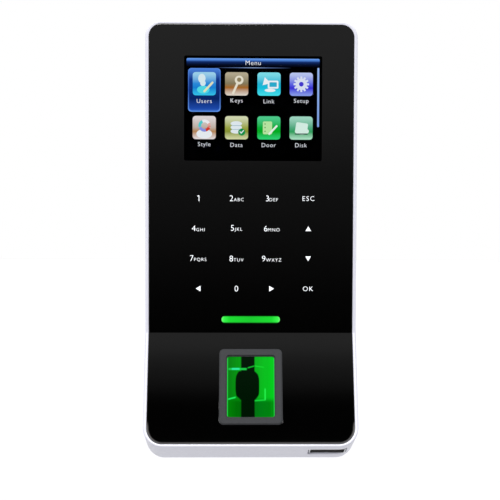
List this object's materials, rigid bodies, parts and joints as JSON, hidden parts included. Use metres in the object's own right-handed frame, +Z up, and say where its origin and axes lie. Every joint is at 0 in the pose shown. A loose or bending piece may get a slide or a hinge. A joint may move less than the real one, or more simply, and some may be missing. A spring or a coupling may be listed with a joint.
{
  "type": "fingerprint scanner terminal",
  "caption": "Slim wall-mounted access terminal: gloss black two-plane face with colour display, touch keypad, light bar and fingerprint window in a silver body on a steel wall plate.",
  "frame": {"origin": "on the wall plane, at the centre of the terminal's width and height, where the wall plate's back lies on the wall", "axes": "+Z up along the terminal's height, +Y into the wall, so the face looks along -Y, +X to the right as seen from the front"},
  "size_m": [0.0776, 0.0196, 0.161],
  "materials": {
    "plate_steel": "zinc plated sheet steel, satin",
    "bright_steel": "nickel plated steel",
    "brass": "turned brass",
    "silver_body": "pearl silver paint, satin",
    "black_abs": "black ABS, fine texture",
    "gloss_panel": "high gloss black, back printed",
    "foam": "closed cell foam tape",
    "clear_window": "clear, hard coated",
    "lcd_glass": "dark polarised display face",
    "white_plastic": "natural white nylon",
    "flex_film": "amber polyimide film",
    "green_lens": "green light pipe, lit",
    "led_body": "LED package",
    "circuit_board": "green solder mask",
    "chip_epoxy": "black epoxy",
    "grey_bezel": "dark grey, fine spark texture",
    "green_prism": "coated glass prism lit green",
    "green_led": "green LED package",
    "optical_glass": "polished lens",
    "white_ribbon": "white flat cable",
    "ferrite": "moulded ferrite",
    "can_aluminium": "drawn can",
    "relay_blue": "blue relay case",
    "gold_pins": "gold flashed contacts",
    "cone_film": "treated paper cone",
    "socket_plastic": "black glass filled nylon",
    "amber_button": "amber button cap"
  },
  "bodies": {
    "wall_side": {"wall_plate": "plate_steel"},
    "terminal": {"lock_nut": "brass", "front_housing": "silver_body", "rear_cover": "black_abs", "cover_screws": "bright_steel", "front_panel": "gloss_panel", "panel_gasket": "foam", "display_window": "clear_window", "lcd_gasket": "foam", "lcd_glass": "lcd_glass", "lcd_backlight": "white_plastic", "lcd_frame": "bright_steel", "lcd_bracket": "black_abs", "bracket_screws": "bright_steel", "lcd_cable": "flex_film", "light_bar_lens": "green_lens", "light_bar_leds": "led_body", "light_bar_board": "circuit_board", "keypad_light_guide": "white_plastic", "keypad_board": "circuit_board", "keypad_leds": "led_body", "touch_controller": "chip_epoxy", "keypad_cable": "flex_film", "sensor_bezel": "grey_bezel", "sensor_prism": "green_prism", "sensor_body": "black_abs", "sensor_leds": "green_led", "sensor_lens_barrel": "black_abs", "sensor_lens": "optical_glass", "image_sensor": "chip_epoxy", "sensor_board": "circuit_board", "sensor_screws": "bright_steel", "sensor_cable": "white_ribbon", "mainboard": "circuit_board", "board_screws": "bright_steel", "processor": "chip_epoxy", "memory_chips": "chip_epoxy", "power_inductors": "ferrite", "capacitors": "can_aluminium", "flat_cable_sockets": "white_plastic", "backup_battery": "bright_steel", "battery_holder": "black_abs", "lock_relay": "relay_blue", "wiring_headers": "white_plastic", "header_pins": "gold_pins", "speaker_frame": "black_abs", "speaker_cone": "cone_film", "speaker_magnet": "bright_steel", "usb_shell": "bright_steel", "usb_tongue": "socket_plastic", "usb_contacts": "gold_pins", "usb_board": "circuit_board", "usb_cable": "white_ribbon", "tamper_switch": "black_abs", "tamper_spring": "bright_steel", "reset_switch": "bright_steel"},
    "lock": {"lock_screw": "bright_steel"},
    "tamper": {"tamper_plunger": "white_plastic"},
    "reset": {"reset_button": "amber_button"}
  },
  "joints": [
    {"name": "terminal_lift", "type": "slide", "parent": "wall_side", "child": "terminal", "axis": [0, 0, 1], "range_m": [0, 0.005]},
    {"name": "lock_screw_travel", "type": "slide", "parent": "wall_side", "child": "lock", "axis": [0, 0, -1], "range_m": [0, 0.006]},
    {"name": "tamper_press", "type": "slide", "parent": "terminal", "child": "tamper", "axis": [0, -1, 0], "range_m": [0, 0.0012], "stiffness_N_per_m": 150, "deforming": ["tamper_spring"]},
    {"name": "reset_press", "type": "slide", "parent": "terminal", "child": "reset", "axis": [0, -1, 0], "range_m": [0, 0.00025], "stiffness_N_per_m": 2000}
  ]
}
